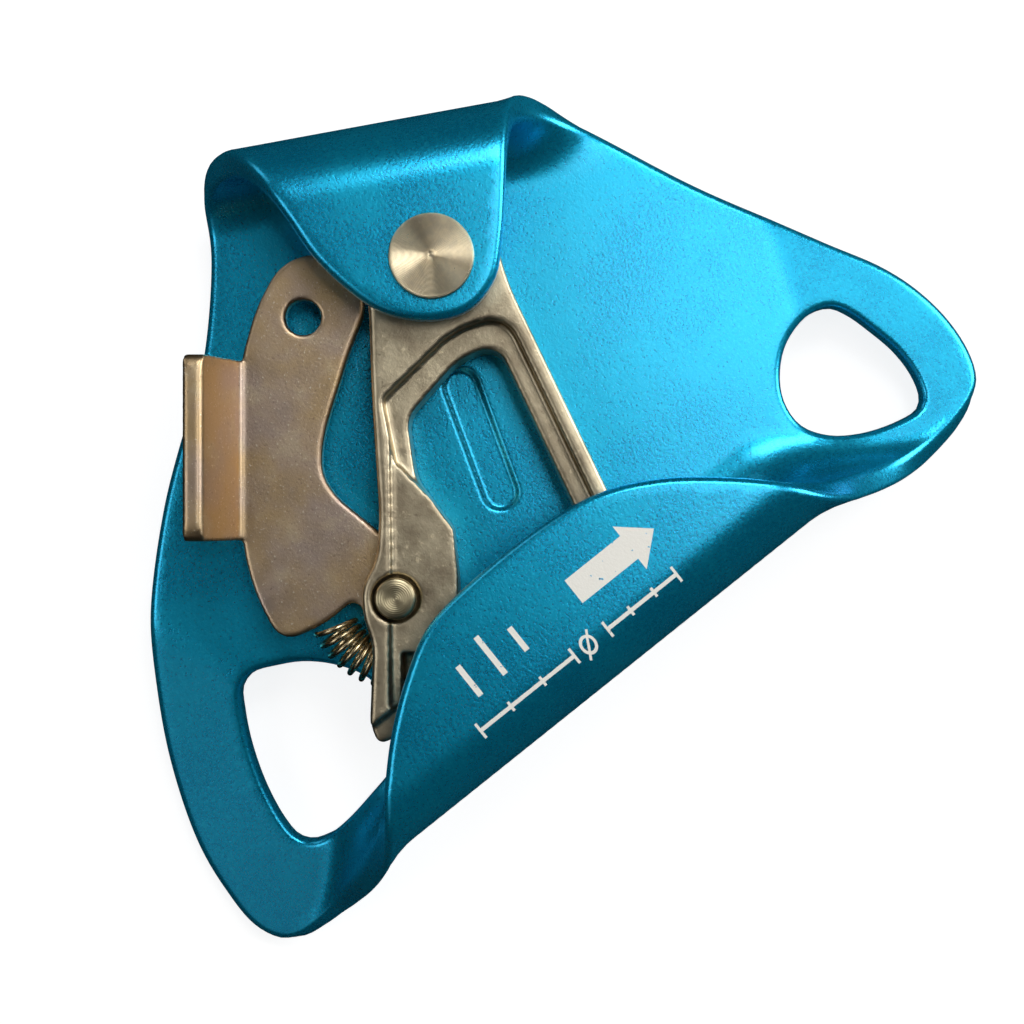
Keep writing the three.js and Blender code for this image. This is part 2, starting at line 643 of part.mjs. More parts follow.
function makeLever() {
  const thickness = LEVER_Z[1] - LEVER_Z[0];
  let lever = prism(easedShape(LEVER_OUTLINE), LEVER_Z[0], LEVER_Z[1], 0.25);
  const wall = new THREE.Shape();
  const foot = TAB.out + 2.2;
  const [low, high] = [LEVER_Z[0] + 0.03, LEVER_Z[1] - 0.03];
  wall.moveTo(foot, low);
  wall.lineTo(foot, high);
  wall.lineTo(TAB.out + 1.2, high);
  wall.quadraticCurveTo(TAB.out, high, TAB.out - 0.1, high + 1.3);
  const innerTop = TAB.out - TAB.flare * (TAB.top - high);
  wall.lineTo(innerTop, TAB.top - 0.5);
  wall.lineTo(innerTop - 0.5, TAB.top);
  wall.lineTo(innerTop - thickness + 0.5, TAB.top);
  wall.lineTo(innerTop - thickness, TAB.top - 0.5);
  wall.lineTo(TAB.out - thickness - 0.1, high + 1.3);
  wall.quadraticCurveTo(TAB.out - thickness, low, foot - 2.4, low);
  const depth = TAB.to - TAB.from - 1;
  const tab = new THREE.ExtrudeGeometry(wall, { depth, bevelEnabled: false, curveSegments: 5 });
  // The profile's x runs across the tab, its y is height, and its depth runs back along the tab.
  tab.translate(0, 0, 0.5 - TAB.to);
  tab.applyMatrix4(
    new THREE.Matrix4().makeBasis(
      new THREE.Vector3(SIDE[0], SIDE[1], 0),
      new THREE.Vector3(0, 0, 1),
      new THREE.Vector3(-RISE[0], -RISE[1], 0),
    ),
  );
  const end = new THREE.Shape();
  end.moveTo(TAB.from, 0);
  end.lineTo(TAB.to, 0);
  end.lineTo(TAB.to, TAB.top - 3);
  end.quadraticCurveTo(TAB.to, TAB.top, TAB.to - 3, TAB.top);
  end.lineTo(TAB.from + 3, TAB.top);
  end.quadraticCurveTo(TAB.from, TAB.top, TAB.from, TAB.top - 3);
  const softEnds = new THREE.ExtrudeGeometry(end, { depth: 20, bevelEnabled: false, curveSegments: 5 });
  softEnds.applyMatrix4(
    new THREE.Matrix4().makeBasis(
      new THREE.Vector3(RISE[0], RISE[1], 0),
      new THREE.Vector3(0, 0, 1),
      new THREE.Vector3(SIDE[0], SIDE[1], 0),
    ),
  );
  softEnds.translate((TAB.out - 12) * SIDE[0], (TAB.out - 12) * SIDE[1], 0);
  lever = lever.add(solid(tab).intersect(solid(softEnds)));
  lever = lever.subtract(cylinder(CATCH, PIN_R + CLEAR, 0, HIGH, 28));
  return lever.subtract(cylinder(CORD_HOLE.at, CORD_HOLE.radius, 0, HIGH, 28));
}

// ---- springs ----
class CoilOnArc extends THREE.Curve {
  constructor(centre, coil, from, to, turns) {
    super();
    Object.assign(this, { centre, ...coil, from, to, turns });
  }

  getPoint(t, target = new THREE.Vector3()) {
    const swing = THREE.MathUtils.degToRad(THREE.MathUtils.lerp(this.from, this.to, t));
    const twist = 2 * Math.PI * this.turns * t;
    const reach = this.major + this.minor * Math.cos(twist);
    return target.set(
      this.centre[0] + reach * Math.cos(swing),
      this.centre[1] + reach * Math.sin(swing),
      this.z + this.minor * Math.sin(twist),
    );
  }
}

class FlatCoil extends THREE.Curve {
  constructor(centre, radius, low, high, turns) {
    super();
    Object.assign(this, { centre, radius, low, high, turns });
  }

  getPoint(t, target = new THREE.Vector3()) {
    const angle = 2 * Math.PI * this.turns * t;
    return target.set(
      this.centre[0] + this.radius * Math.cos(angle),
      this.centre[1] + this.radius * Math.sin(angle),
      THREE.MathUtils.lerp(this.low, this.high, t),
    );
  }
}

// ---- the assembly ----
const part = new THREE.Group();
part.name = "chest_ascender";

function add(name, shape, colour, roughness) {
  const material = new THREE.MeshStandardMaterial({ color: colour, metalness: 1, roughness });
  const mesh = new THREE.Mesh(geometryOf(shape), material);
  mesh.name = name;
  mesh.position.set(-ORIGIN[0], -ORIGIN[1], -ORIGIN[2]);
  part.add(mesh);
}

const ring = (low, high, inner, outer) =>
  cylinder(PIVOT, outer, low, high).subtract(cylinder(PIVOT, inner, low - 1, high + 1));

add("frame", makeFrame(), 0x1487b4, 0.4);
add("cam", makeCam(), 0x9c9280, 0.45);
add("catch_lever", makeLever(), 0xa8967a, 0.4);
add(
  "cam_axle",
  turned(PIVOT, [
    [0, -2.6], [3.2, -2.6], [5.2, -1.9], [5.2, -1.3], [AXLE_R, -1.3], [AXLE_R, 23.25],
    [5.9, 23.25], [5.9, 23.8], [5.5, 24.2], [0.9, 25], [0.9, 25.2], [0, 25.2],
  ]),
  0xd8d2c4,
  0.25,
);
add("axle_washer", ring(-1.05, -0.25, AXLE_HOLE_R, 6.4), 0xbdb7aa, 0.35);
add("cam_washer_rear", ring(4.3, 5.1, AXLE_R + CLEAR, 8.2), 0xbdb7aa, 0.35);
add("cam_washer_front", ring(17.8, 18.7, AXLE_R + CLEAR, 8.2), 0xbdb7aa, 0.35);
add("cam_bushing", ring(5.35, 17.55, AXLE_R + CLEAR, CAM_BORE_R - CLEAR), 0xa88a4e, 0.35);
add("cam_spring", wire(new FlatCoil(PIVOT, 7.3, 6.3, 8.8, 2.25), 64, 0.5), 0xb9a98a, 0.3);
add(
  "catch_pin",
  turned(CATCH, [
    [0, 4.3], [2.3, 4.3], [2.7, 4.6], [2.7, 5.1], [PIN_R, 5.1], [PIN_R, 16.4],
    [2.95, 16.4], [2.95, 18.1], [2.6, 18.5], [0, 18.5],
  ], 32),
  0x8f8468,
  0.4,
);
add(
  "catch_spring",
  wire(new CoilOnArc(CATCH, CATCH_COIL, 256, 309, 6.5), 104, CATCH_COIL.wire),
  0xc0ab82,
  0.3,
);

export default part;
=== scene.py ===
"""Looks for a chest ascender: a blue anodised frame, a cast cam, a plated catch lever and their springs.

Lengths here are millimetres in the web's own frame, in which the underside of the flat web is z = 0,
until place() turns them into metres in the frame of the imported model.
"""

import json
import math

import bmesh
import bpy
import numpy as np
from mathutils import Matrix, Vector
from mathutils.geometry import delaunay_2d_cdt


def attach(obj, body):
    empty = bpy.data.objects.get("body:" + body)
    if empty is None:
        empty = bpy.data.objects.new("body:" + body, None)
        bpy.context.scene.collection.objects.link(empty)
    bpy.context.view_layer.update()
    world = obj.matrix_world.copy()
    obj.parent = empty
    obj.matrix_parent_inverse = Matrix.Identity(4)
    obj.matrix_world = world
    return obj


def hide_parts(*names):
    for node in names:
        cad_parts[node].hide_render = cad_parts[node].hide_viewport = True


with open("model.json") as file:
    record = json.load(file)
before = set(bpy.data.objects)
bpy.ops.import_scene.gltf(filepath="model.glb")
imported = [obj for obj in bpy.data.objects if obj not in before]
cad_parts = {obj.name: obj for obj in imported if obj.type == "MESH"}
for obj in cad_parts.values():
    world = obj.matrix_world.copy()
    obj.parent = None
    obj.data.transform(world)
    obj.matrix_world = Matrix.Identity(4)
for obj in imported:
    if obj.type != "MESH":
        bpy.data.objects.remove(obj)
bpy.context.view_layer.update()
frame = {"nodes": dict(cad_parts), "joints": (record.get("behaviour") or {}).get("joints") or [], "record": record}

RECORD = frame["record"]
JOINTS = {joint["name"]: joint for joint in frame["joints"]}
WEB_PIVOT = np.array([-34.6, 13.4])
CATCH = np.array([-0.7, -20.5])
PIVOT_M = np.array(JOINTS["cam_pivot"]["pos_m"])
WEB_UNDERSIDE_M = RECORD["mounts"][0]["pos_m"][2]
WEB_ORIGIN_M = np.array([*(PIVOT_M[:2] - WEB_PIVOT * 1e-3), WEB_UNDERSIDE_M])

# ---- sizes, as in the design ----
PLATE = 4.0
MIDDLE = PLATE / 2
EDGE_ROUND = 1.1
HOLE_EDGE = 0.35
CHANNEL_START = 12.4
CHANNEL_BACK_R = 13.2
CHANNEL_FRONT_R = 5.8
CHANNEL_END_SHIFT = 16.3
CHANNEL_END_TIGHTER = 7.2
CHANNEL_HIGH_END = (32, 58)
CHANNEL_LOW_END = (40, 64)
FORK_ALONG = np.array([0.4739, 0.8806])
FORK_OUT = np.array([-0.8806, 0.4739])
FORK_START = 47.2
FORK_R = 9.5
FORK_FADE = (9, 27)
LOBE_BEND_R = 20.0
LOW_LOBE_WAY, LOW_LOBE_START, LOW_LOBE_SLOPE = (0.398, -0.917), 37.6, 0.2126
HIGH_LOBE_WAY, HIGH_LOBE_START, HIGH_LOBE_SLOPE = (0.356, 0.934), 47.8, 0.176
LOW_LOBE_LEVEL = 43.0
LOW_LOBE_BLEND = 4
POCKET_ENDS = np.array([[-19.4, 5.8], [-3.4, 0.5]])
POCKET_FLOOR = 2.2
POCKET_HALF = 2.9
POCKET_DEPTH = 0.7
AXLE_HOLE_R = 3.8
LEVER_Z = (9.2, 12.1)


def place(points):
    """Millimetres in the web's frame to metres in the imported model's frame."""
    return np.asarray(points, float) * 1e-3 + WEB_ORIGIN_M


# ---- meshes ----
def make_piece(name, points, faces, material, body, slot, replaces, attributes=None):
    mesh = bpy.data.meshes.new(name)
    mesh.from_pydata(place(points).tolist(), [], [list(map(int, face)) for face in faces])
    mesh.update()
    mesh.polygons.foreach_set("use_smooth", np.full(len(mesh.polygons), True))
    for key, values in (attributes or {}).items():
        layer = mesh.attributes.new(key, "FLOAT_VECTOR", "POINT")
        layer.data.foreach_set("vector", np.asarray(values, np.float32).ravel())
    add_piece(name, mesh, material, body, replaces)


def add_piece(name, mesh, material, body, replaces):
    """Puts a finished mesh into the scene with its material, on its body."""
    mesh.materials.clear()
    mesh.materials.append(material)
    piece = bpy.data.objects.new(name, mesh)
    bpy.context.scene.collection.objects.link(piece)
    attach(piece, body)
    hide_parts(replaces)


def cast_copy(node, voxel, smoothing):
    """A CAD node's mesh wrapped in an even skin of small squares and smoothed, which rounds its edges."""
    source = frame["nodes"][node].data.copy()
    merged = bmesh.new()
    merged.from_mesh(source)
    bmesh.ops.remove_doubles(merged, verts=merged.verts, dist=1e-6)
    merged.to_mesh(source)
    merged.free()
    holder = bpy.data.objects.new(node + "_skin", source)
    bpy.context.scene.collection.objects.link(holder)
    skin = holder.modifiers.new("skin", "REMESH")
    skin.mode = "VOXEL"
    skin.voxel_size = voxel * 1e-3
    soften = holder.modifiers.new("soften", "SMOOTH")
    soften.factor = 0.5
    soften.iterations = smoothing
    evaluated = holder.evaluated_get(bpy.context.evaluated_depsgraph_get())
    mesh = bpy.data.meshes.new_from_object(evaluated)
    bpy.data.objects.remove(holder)
    mesh.polygons.foreach_set("use_smooth", np.full(len(mesh.polygons), True))
    mesh.name = node + "_skin"
    return mesh


def ease(x, low, high):
    """Smooth step: 3t^2 - 2t^3 between the two limits."""
    t = np.clip((x - low) / (high - low), 0, 1)
    return t * t * (3 - 2 * t)


# ---- the frame ----
def follow(distance, arcs, strength):
    """Walks along arcs (length, curvature x strength), then straight on: sums of sines and cosines."""
    x = np.minimum(distance, 0.0)
    z = np.zeros_like(x)
    angle = np.zeros_like(x)
    left = np.maximum(distance, 0.0)
    for length, curvature in arcs:
        part = np.minimum(left, length)
        bent = curvature * strength
        turn = angle + part * bent
        is_flat = np.abs(bent) < 1e-6
        safe = np.where(is_flat, 1.0, bent)
        x = x + np.where(is_flat, part * np.cos(angle), (np.sin(turn) - np.sin(angle)) / safe)
        z = z + np.where(is_flat, part * np.sin(angle), (np.cos(angle) - np.cos(turn)) / safe)
        angle = turn
        left = left - part
    return x + left * np.cos(angle), z + left * np.sin(angle), angle


def lobe_drop(distance, slope):
    """A parabola that runs into a straight slope."""
    d = np.maximum(distance, 0)
    curved = slope * LOBE_BEND_R
    return np.where(d < curved, d * d / (2 * LOBE_BEND_R), slope * (d - curved / 2))


def soft_min(a, b, width):
    """The smaller of two values, with the change-over rounded."""
    h = np.clip(0.5 + 0.5 * (b - a) / width, 0, 1)
    return b + (a - b) * h - width * h * (1 - h)


def pocket_distance(flat):
    """Distance from the pocket's axis, a line between two ends."""
    a, b = POCKET_ENDS
    t = np.clip((flat - a) @ (b - a) / ((b - a) @ (b - a)), 0, 1)
    return np.linalg.norm(flat - (a + t[:, None] * (b - a)), axis=1)


def bend(points):
    """Bends the blank: rolls the channel and the fork along arcs, drops the lobes, presses the pocket."""
    x, y, z = points.T
    flat = points[:, :2]
    off = z - MIDDLE
    low = soft_min(flat @ LOW_LOBE_WAY - LOW_LOBE_START, -y - LOW_LOBE_LEVEL, LOW_LOBE_BLEND)
    high = flat @ HIGH_LOBE_WAY - HIGH_LOBE_START
    drop = lobe_drop(low, LOW_LOBE_SLOPE) + lobe_drop(high, HIGH_LOBE_SLOPE)
    pressed = POCKET_DEPTH * (1 - ease(pocket_distance(flat), POCKET_FLOOR, POCKET_HALF))
    ending = ease(y, *CHANNEL_HIGH_END) + ease(-y, *CHANNEL_LOW_END)
    start = CHANNEL_START + CHANNEL_END_SHIFT * ending
    back_r = CHANNEL_BACK_R - CHANNEL_END_TIGHTER * ending
    quarter = math.pi / 2
    arcs = [(quarter * back_r, 1 / back_r), (quarter * CHANNEL_FRONT_R, 1 / CHANNEL_FRONT_R)]
    cx, cz, ca = follow(x - start, arcs, 1.0)
    over = x > start
    bx = np.where(over, start + cx - off * np.sin(ca), x)
    bz = np.where(over, MIDDLE + cz + off * np.cos(ca), z - pressed)
    along, out = flat @ FORK_ALONG, flat @ FORK_OUT
    fold_strength = 1 - ease(along, *FORK_FADE)
    fx, fz, fa = follow(out - FORK_START, [(math.pi * FORK_R, 1 / FORK_R)], fold_strength)
    reach = FORK_START + fx - off * np.sin(fa)
    fold = along[:, None] * FORK_ALONG + reach[:, None] * FORK_OUT
    is_fork = out > FORK_START
    return np.stack(
        [
            np.where(is_fork, fold[:, 0], bx),
            np.where(is_fork, fold[:, 1], y),
            np.where(is_fork, MIDDLE + fz + off * np.cos(fa), bz) - drop,
        ],
        axis=1,
    )


def closed_curve(points, spacing):
    """A centripetal Catmull-Rom curve through the points, sampled at an even spacing."""
    p1 = np.asarray(points, float)
    p0, p2, p3 = np.roll(p1, 1, 0), np.roll(p1, -1, 0), np.roll(p1, -2, 0)
    d0, d1, d2 = (np.sqrt(np.linalg.norm(b - a, axis=1))[:, None] for a, b in ((p0, p1), (p1, p2), (p2, p3)))
    m1 = ((p1 - p0) / d0 - (p2 - p0) / (d0 + d1) + (p2 - p1) / d1) * d1
    m2 = ((p2 - p1) / d1 - (p3 - p1) / (d1 + d2) + (p3 - p2) / d2) * d1
    t = np.linspace(0, 1, 24, endpoint=False)[None, :, None]
    h = (
        (2 * t**3 - 3 * t**2 + 1) * p1[:, None]
        + (t**3 - 2 * t**2 + t) * m1[:, None]
        + (3 * t**2 - 2 * t**3) * p2[:, None]
        + (t**3 - t**2) * m2[:, None]
    )
    fine = h.reshape(-1, 2)
    steps = np.linalg.norm(np.roll(fine, -1, 0) - fine, axis=1)
    length = np.concatenate([[0], np.cumsum(steps)])
    count = round(length[-1] / spacing)
    at = np.linspace(0, length[-1], count, endpoint=False)
    closed = np.vstack([fine, fine[:1]])
    return np.stack([np.interp(at, length, closed[:, k]) for k in (0, 1)], axis=1)


def left_of(loop, distance):
    """The loop moved to its left by a distance, along its normals."""
    along = np.roll(loop, -1, 0) - np.roll(loop, 1, 0)
    along /= np.linalg.norm(along, axis=1)[:, None]
    return loop + distance * np.stack([-along[:, 1], along[:, 0]], axis=1)


def inside(points, loop):
    """Even-odd rule: counts the edges of the loop that a ray to the right crosses."""
    a, b = loop, np.roll(loop, -1, 0)
    x, y = points[:, :1], points[:, 1:]
    crosses = (a[:, 1] > y) != (b[:, 1] > y)
    run = np.where(b[:, 1] == a[:, 1], 1, b[:, 1] - a[:, 1])
    at = a[:, 0] + (y - a[:, 1]) * (b[:, 0] - a[:, 0]) / run
    return (np.sum(crosses & (x < at), axis=1) % 2) == 1


def on_fork(along, out):
    """A point of the blank from its place along and beyond the fork's fold."""
    return tuple(along * FORK_ALONG + out * FORK_OUT)


def round_loop(centre, radius, count):
    """A clockwise circle."""
    a = -2 * math.pi * np.arange(count) / count
    return np.asarray(centre) + radius * np.stack([np.cos(a), np.sin(a)], axis=1)


OUTLINE = [
    (30.6, -65.2), (31, -61), (31, -57.4), (31.6, -53.4), (33.2, -49.4), (35.8, -45.4),
    (39.3, -41.4), (42.7, -38.2), (48.2, -32.6), (53.2, -26), (56.8, -19.4), (58, -11),
    (58, 2), (56.6, 11), (52.8, 19), (46.4, 27.2), (41, 32.8), (37.4, 36.8),
    (35, 40.6), (33.9, 44), (33.3, 47.3), (33, 50.4), (32.8, 53.6), (32.5, 57.2),
    (31.9, 61), (30.6, 65), (28.4, 67.8), (24.8, 69.4), (18.8, 70), (12, 69),
    (6, 66.8), (-2.7, 61.8), (-20, 52.3), (-35.6, 45.4),
    on_fork(16.9, 57.8), on_fork(13, 62), on_fork(10.4, 67), on_fork(8.4, 74.5), on_fork(5.5, 86.7),
    on_fork(3.3, 92.2), on_fork(-0.7, 95.5), on_fork(-6.4, 96), on_fork(-13.1, 93.4), on_fork(-20.1, 85.5),
    on_fork(-23.5, 78.4), on_fork(-26, 73.6), on_fork(-28.6, 69.2), on_fork(-31.6, 64.2),
    on_fork(-34.8, 59.6), on_fork(-36.6, 55), on_fork(-37.5, 45.3),
    (-48.3, -20.1), (-43.3, -26), (-39.4, -31.9), (-32.8, -40.6), (-22.3, -51.5),
    (-13.7, -57.8), (-2.9, -64.1), (9.4, -68.9), (17.7, -70.2), (24.6, -70.1), (28.6, -68.2),
]
LOW_EYELET = [
    (-2.1, -50), (-4.8, -48), (-5.5, -45.4), (-4, -41.7), (-2, -38.3), (1.4, -34.9),
    (5.8, -32.4), (11.9, -32.1), (17, -34.5), (19.8, -38.4), (20.9, -43.2), (21.1, -47.4),
    (20.8, -51.2), (19.9, -54.3), (18.1, -55.8), (15, -56), (9, -54.9), (2.7, -52.6),
]
HIGH_EYELET = [
    (12.5, 42.2), (8.8, 44.4), (5.9, 48), (4.7, 53), (5.9, 56.6), (8.4, 58.2),
    (12.6, 59.5), (17.4, 60.5), (21.8, 60.4), (25.1, 59.3), (26.2, 57.8), (25.8, 54.4),
    (23.9, 49.1), (20.9, 44.4), (16.8, 41.9),
]


def staggered(low, high, pitch):
    """Rows of points at an even pitch, every other row moved by half a pitch."""
    rows = np.arange(low[1], high[1], pitch * 0.866)
    columns = np.arange(low[0], high[0], pitch)
    x, y = np.meshgrid(columns, rows)
    x[1::2] += pitch / 2
    return np.stack([x.ravel(), y.ravel()], axis=1)


POCKET_GRID = 0.42
POCKET_GRID_REACH = 3.8


def frame_mesh(pitch=1.15):
    """Fills the inset outline with even triangles, and joins a copy for each face by a round rim."""
    tongue_hole = on_fork(WEB_PIVOT @ FORK_ALONG, 2 * FORK_START + math.pi * FORK_R - WEB_PIVOT @ FORK_OUT)
    loops = [
        (closed_curve(OUTLINE, pitch), EDGE_ROUND),
        (closed_curve(LOW_EYELET, pitch), EDGE_ROUND),
        (closed_curve(HIGH_EYELET, pitch), EDGE_ROUND),
        (round_loop(WEB_PIVOT, AXLE_HOLE_R, 40), HOLE_EDGE),
        (round_loop(tongue_hole, AXLE_HOLE_R, 40), HOLE_EDGE),
    ]
    insets = [left_of(loop, rounding) for loop, rounding in loops]
    body = insets[0]
    coarse = staggered(body.min(0), body.max(0), pitch)
    coarse = coarse[pocket_distance(coarse) > POCKET_GRID_REACH + 0.2]
    margin = POCKET_GRID_REACH + 1.2
    fine = staggered(POCKET_ENDS.min(0) - margin, POCKET_ENDS.max(0) + margin, POCKET_GRID)
    fine = fine[pocket_distance(fine) < POCKET_GRID_REACH]
    grid = np.vstack([coarse, fine])
    grid = grid[inside(grid, left_of(body, 0.55 * pitch))]
    for hole in insets[1:]:
        grid = grid[~inside(grid, left_of(hole, 0.5 * pitch))]
    starts = np.cumsum([0] + [len(loop) for loop in insets])
    edges = [
        (int(start + i), int(start + (i + 1) % len(loop)))
        for start, loop in zip(starts, insets)
        for i in range(len(loop))
    ]
    flat = np.vstack(insets + [grid])
    cdt = delaunay_2d_cdt([Vector(p) for p in flat.tolist()], edges, [], 0, 1e-7)
    flat = np.array([tuple(p) for p in cdt[0]])
    faces = np.array(cdt[2])
    centres = flat[faces].mean(axis=1)
    keep = inside(centres, insets[0])
    for hole in insets[1:]:
        keep &= ~inside(centres, hole)
    faces = faces[keep]
    a, b, c = (flat[faces[:, k]] for k in range(3))
    area = (b[:, 0] - a[:, 0]) * (c[:, 1] - a[:, 1]) - (b[:, 1] - a[:, 1]) * (c[:, 0] - a[:, 0])
    faces[area < 0] = faces[area < 0][:, ::-1]

    count = len(flat)
    blank = [np.column_stack([flat, np.full(count, level)]) for level in (PLATE, 0.0)]
    blocks = [faces, faces[:, ::-1] + count]
    total = 2 * count
    for start, inset, (_, rounding) in zip(starts, insets, loops):
        size = len(inset)
        steps = 10 if rounding > 1 else 4
        ring = np.arange(start, start + size)
        rings = [ring]
        upper = np.linspace(90, 0, steps // 2 + 1)[1:]
        arc = [(angle, 1) for angle in upper] + [(-angle, -1) for angle in upper[::-1]]
        for angle, side in arc:
            turn = math.radians(angle)
            moved = left_of(inset, -rounding * math.cos(turn))
            height = MIDDLE + side * (MIDDLE - rounding) + rounding * math.sin(turn)
            blank.append(np.column_stack([moved, np.full(size, height)]))
            rings.append(np.arange(total, total + size))
            total += size
        rings.append(ring + count)
        for one, two in zip(rings[:-1], rings[1:]):
            blocks.append(np.stack([one, two, np.roll(two, -1), np.roll(one, -1)], axis=1))
    blank = np.vstack(blank)
    return bend(blank), [tuple(face) for block in blocks for face in block], blank


# ---- turned pieces and wires ----
def turned(profile, centre, count=96):
    """Carries a profile of (radius, z) points round a vertical axis; the end points lie on the axis."""
    profile = np.asarray(profile, float)
    inner = profile[1:-1]
    angle = 2 * math.pi * np.arange(count) / count
    ring = np.stack([np.cos(angle), np.sin(angle)], axis=1)
    body = np.concatenate(
        [inner[:, None, :1] * ring[None], np.repeat(inner[:, None, 1:], count, axis=1)], axis=2
    ).reshape(-1, 3)
    points = np.vstack([body, [[0, 0, profile[0, 1]], [0, 0, profile[-1, 1]]]])
    points[:, :2] += centre
    i, k = np.meshgrid(np.arange(len(inner) - 1), np.arange(count), indexing="ij")
    a, b = i * count + k, i * count + (k + 1) % count
    faces = [tuple(f) for f in np.stack([a, b, b + count, a + count], axis=-1).reshape(-1, 4)]
    last = (len(inner) - 1) * count
    low, high = len(body), len(body) + 1
    faces += [(low, (k + 1) % count, k) for k in range(count)]
    faces += [(high, last + k, last + (k + 1) % count) for k in range(count)]
    return points, faces


def hollow_turned(profile, centre, count=72):
    """Carries a closed profile of (radius, z) points, anticlockwise, round a vertical axis."""
    profile = np.asarray(profile, float)
    size = len(profile)
    angle = 2 * math.pi * np.arange(count) / count
    ring = np.stack([np.cos(angle), np.sin(angle)], axis=1)
    points = np.concatenate(
        [profile[:, None, :1] * ring[None], np.repeat(profile[:, None, 1:], count, axis=1)], axis=2
    ).reshape(-1, 3)
    points[:, :2] += centre
    i, k = np.meshgrid(np.arange(size), np.arange(count), indexing="ij")
    j, m = (i + 1) % size, (k + 1) % count
    faces = np.stack([i * count + k, i * count + m, j * count + m, j * count + k], axis=-1).reshape(-1, 4)
    return points, [tuple(f) for f in faces]


def washer_profile(inner, outer, low, high, rounding):
    """A rectangle with its four corners taken off."""
    r = rounding
    return [
        (inner + r, low), (outer - r, low), (outer, low + r), (outer, high - r),
        (outer - r, high), (inner + r, high), (inner, high - r), (inner, low + r),
    ]


def wire(path, outward, radius, sides=14):
    """Carries a circle along a path, its frame built from the path's tangent and an outward direction."""
    tangent = np.gradient(path, axis=0)
    tangent /= np.linalg.norm(tangent, axis=1)[:, None]
    normal = outward - np.sum(outward * tangent, axis=1)[:, None] * tangent
    normal /= np.linalg.norm(normal, axis=1)[:, None]
    side = np.cross(tangent, normal)
    angle = 2 * math.pi * np.arange(sides) / sides
    circle = np.cos(angle)[None, :, None] * normal[:, None] + np.sin(angle)[None, :, None] * side[:, None]
    points = (path[:, None] + radius * circle).reshape(-1, 3)
    rows = len(path)
    i, k = np.meshgrid(np.arange(rows - 1), np.arange(sides), indexing="ij")
    a, b = i * sides + k, i * sides + (k + 1) % sides
    faces = [tuple(f) for f in np.stack([a, b, b + sides, a + sides], axis=-1).reshape(-1, 4)]
    faces.append(tuple(range(sides - 1, -1, -1)))
    faces.append(tuple((rows - 1) * sides + k for k in range(sides)))
    return points, faces


def coil_on_arc(centre, z, major, minor, start, end, turns, steps):
    """A helix whose axis is an arc round a centre: reach = major + minor cos, height = z + minor sin."""
    t = np.linspace(0, 1, steps)
    swing = np.radians(start + (end - start) * t)
    twist = 2 * math.pi * turns * t
    spoke = np.stack([np.cos(swing), np.sin(swing), 0 * t], axis=1)
    rise = np.array([0, 0, 1.0])
    outward = np.cos(twist)[:, None] * spoke + np.sin(twist)[:, None] * rise
    return np.array([*centre, z]) + major * spoke + minor * outward, outward


def flat_coil(centre, radius, low, high, turns, steps):
    """A helix round a vertical axis."""
    t = np.linspace(0, 1, steps)
    angle = 2 * math.pi * turns * t
    outward = np.stack([np.cos(angle), np.sin(angle), 0 * t], axis=1)
    path = np.array([*centre, 0.0]) + radius * outward
    path[:, 2] = low + (high - low) * t
    return path, outward


# ---- shader maths ----
class Wave:
    """A number socket of a shader: Python operators on it add Math nodes."""

    def __init__(self, shader, socket):
        self.shader = shader
        self.socket = socket

    def math(self, operation, *others):
        return self.shader.node("ShaderNodeMath", {"operation": operation}, [self, *others])

    def __add__(self, other):
        return self.math("ADD", other)

    __radd__ = __add__

    def __sub__(self, other):
        return self.math("SUBTRACT", other)

    def __rsub__(self, other):
        return self.shader.node("ShaderNodeMath", {"operation": "SUBTRACT"}, [other, self])

    def __mul__(self, other):
        return self.math("MULTIPLY", other)

    __rmul__ = __mul__

    def __pow__(self, other):
        return self.math("POWER", other)

    def __abs__(self):
        return self.math("ABSOLUTE")

    def below(self, limit):
        return self.math("LESS_THAN", limit)

    def above(self, limit):
        return self.math("GREATER_THAN", limit)

    def most(self, other):
        return self.math("MAXIMUM", other)

    def sine(self):
        return self.math("SINE")

    def ramp(self, low, high):
        """0 below low, 1 above high, smooth between."""
        return self.shader.node(
            "ShaderNodeMapRange",
            {"interpolation_type": "SMOOTHSTEP"},
            {"Value": self, "From Min": low, "From Max": high},
            "Result",
        )


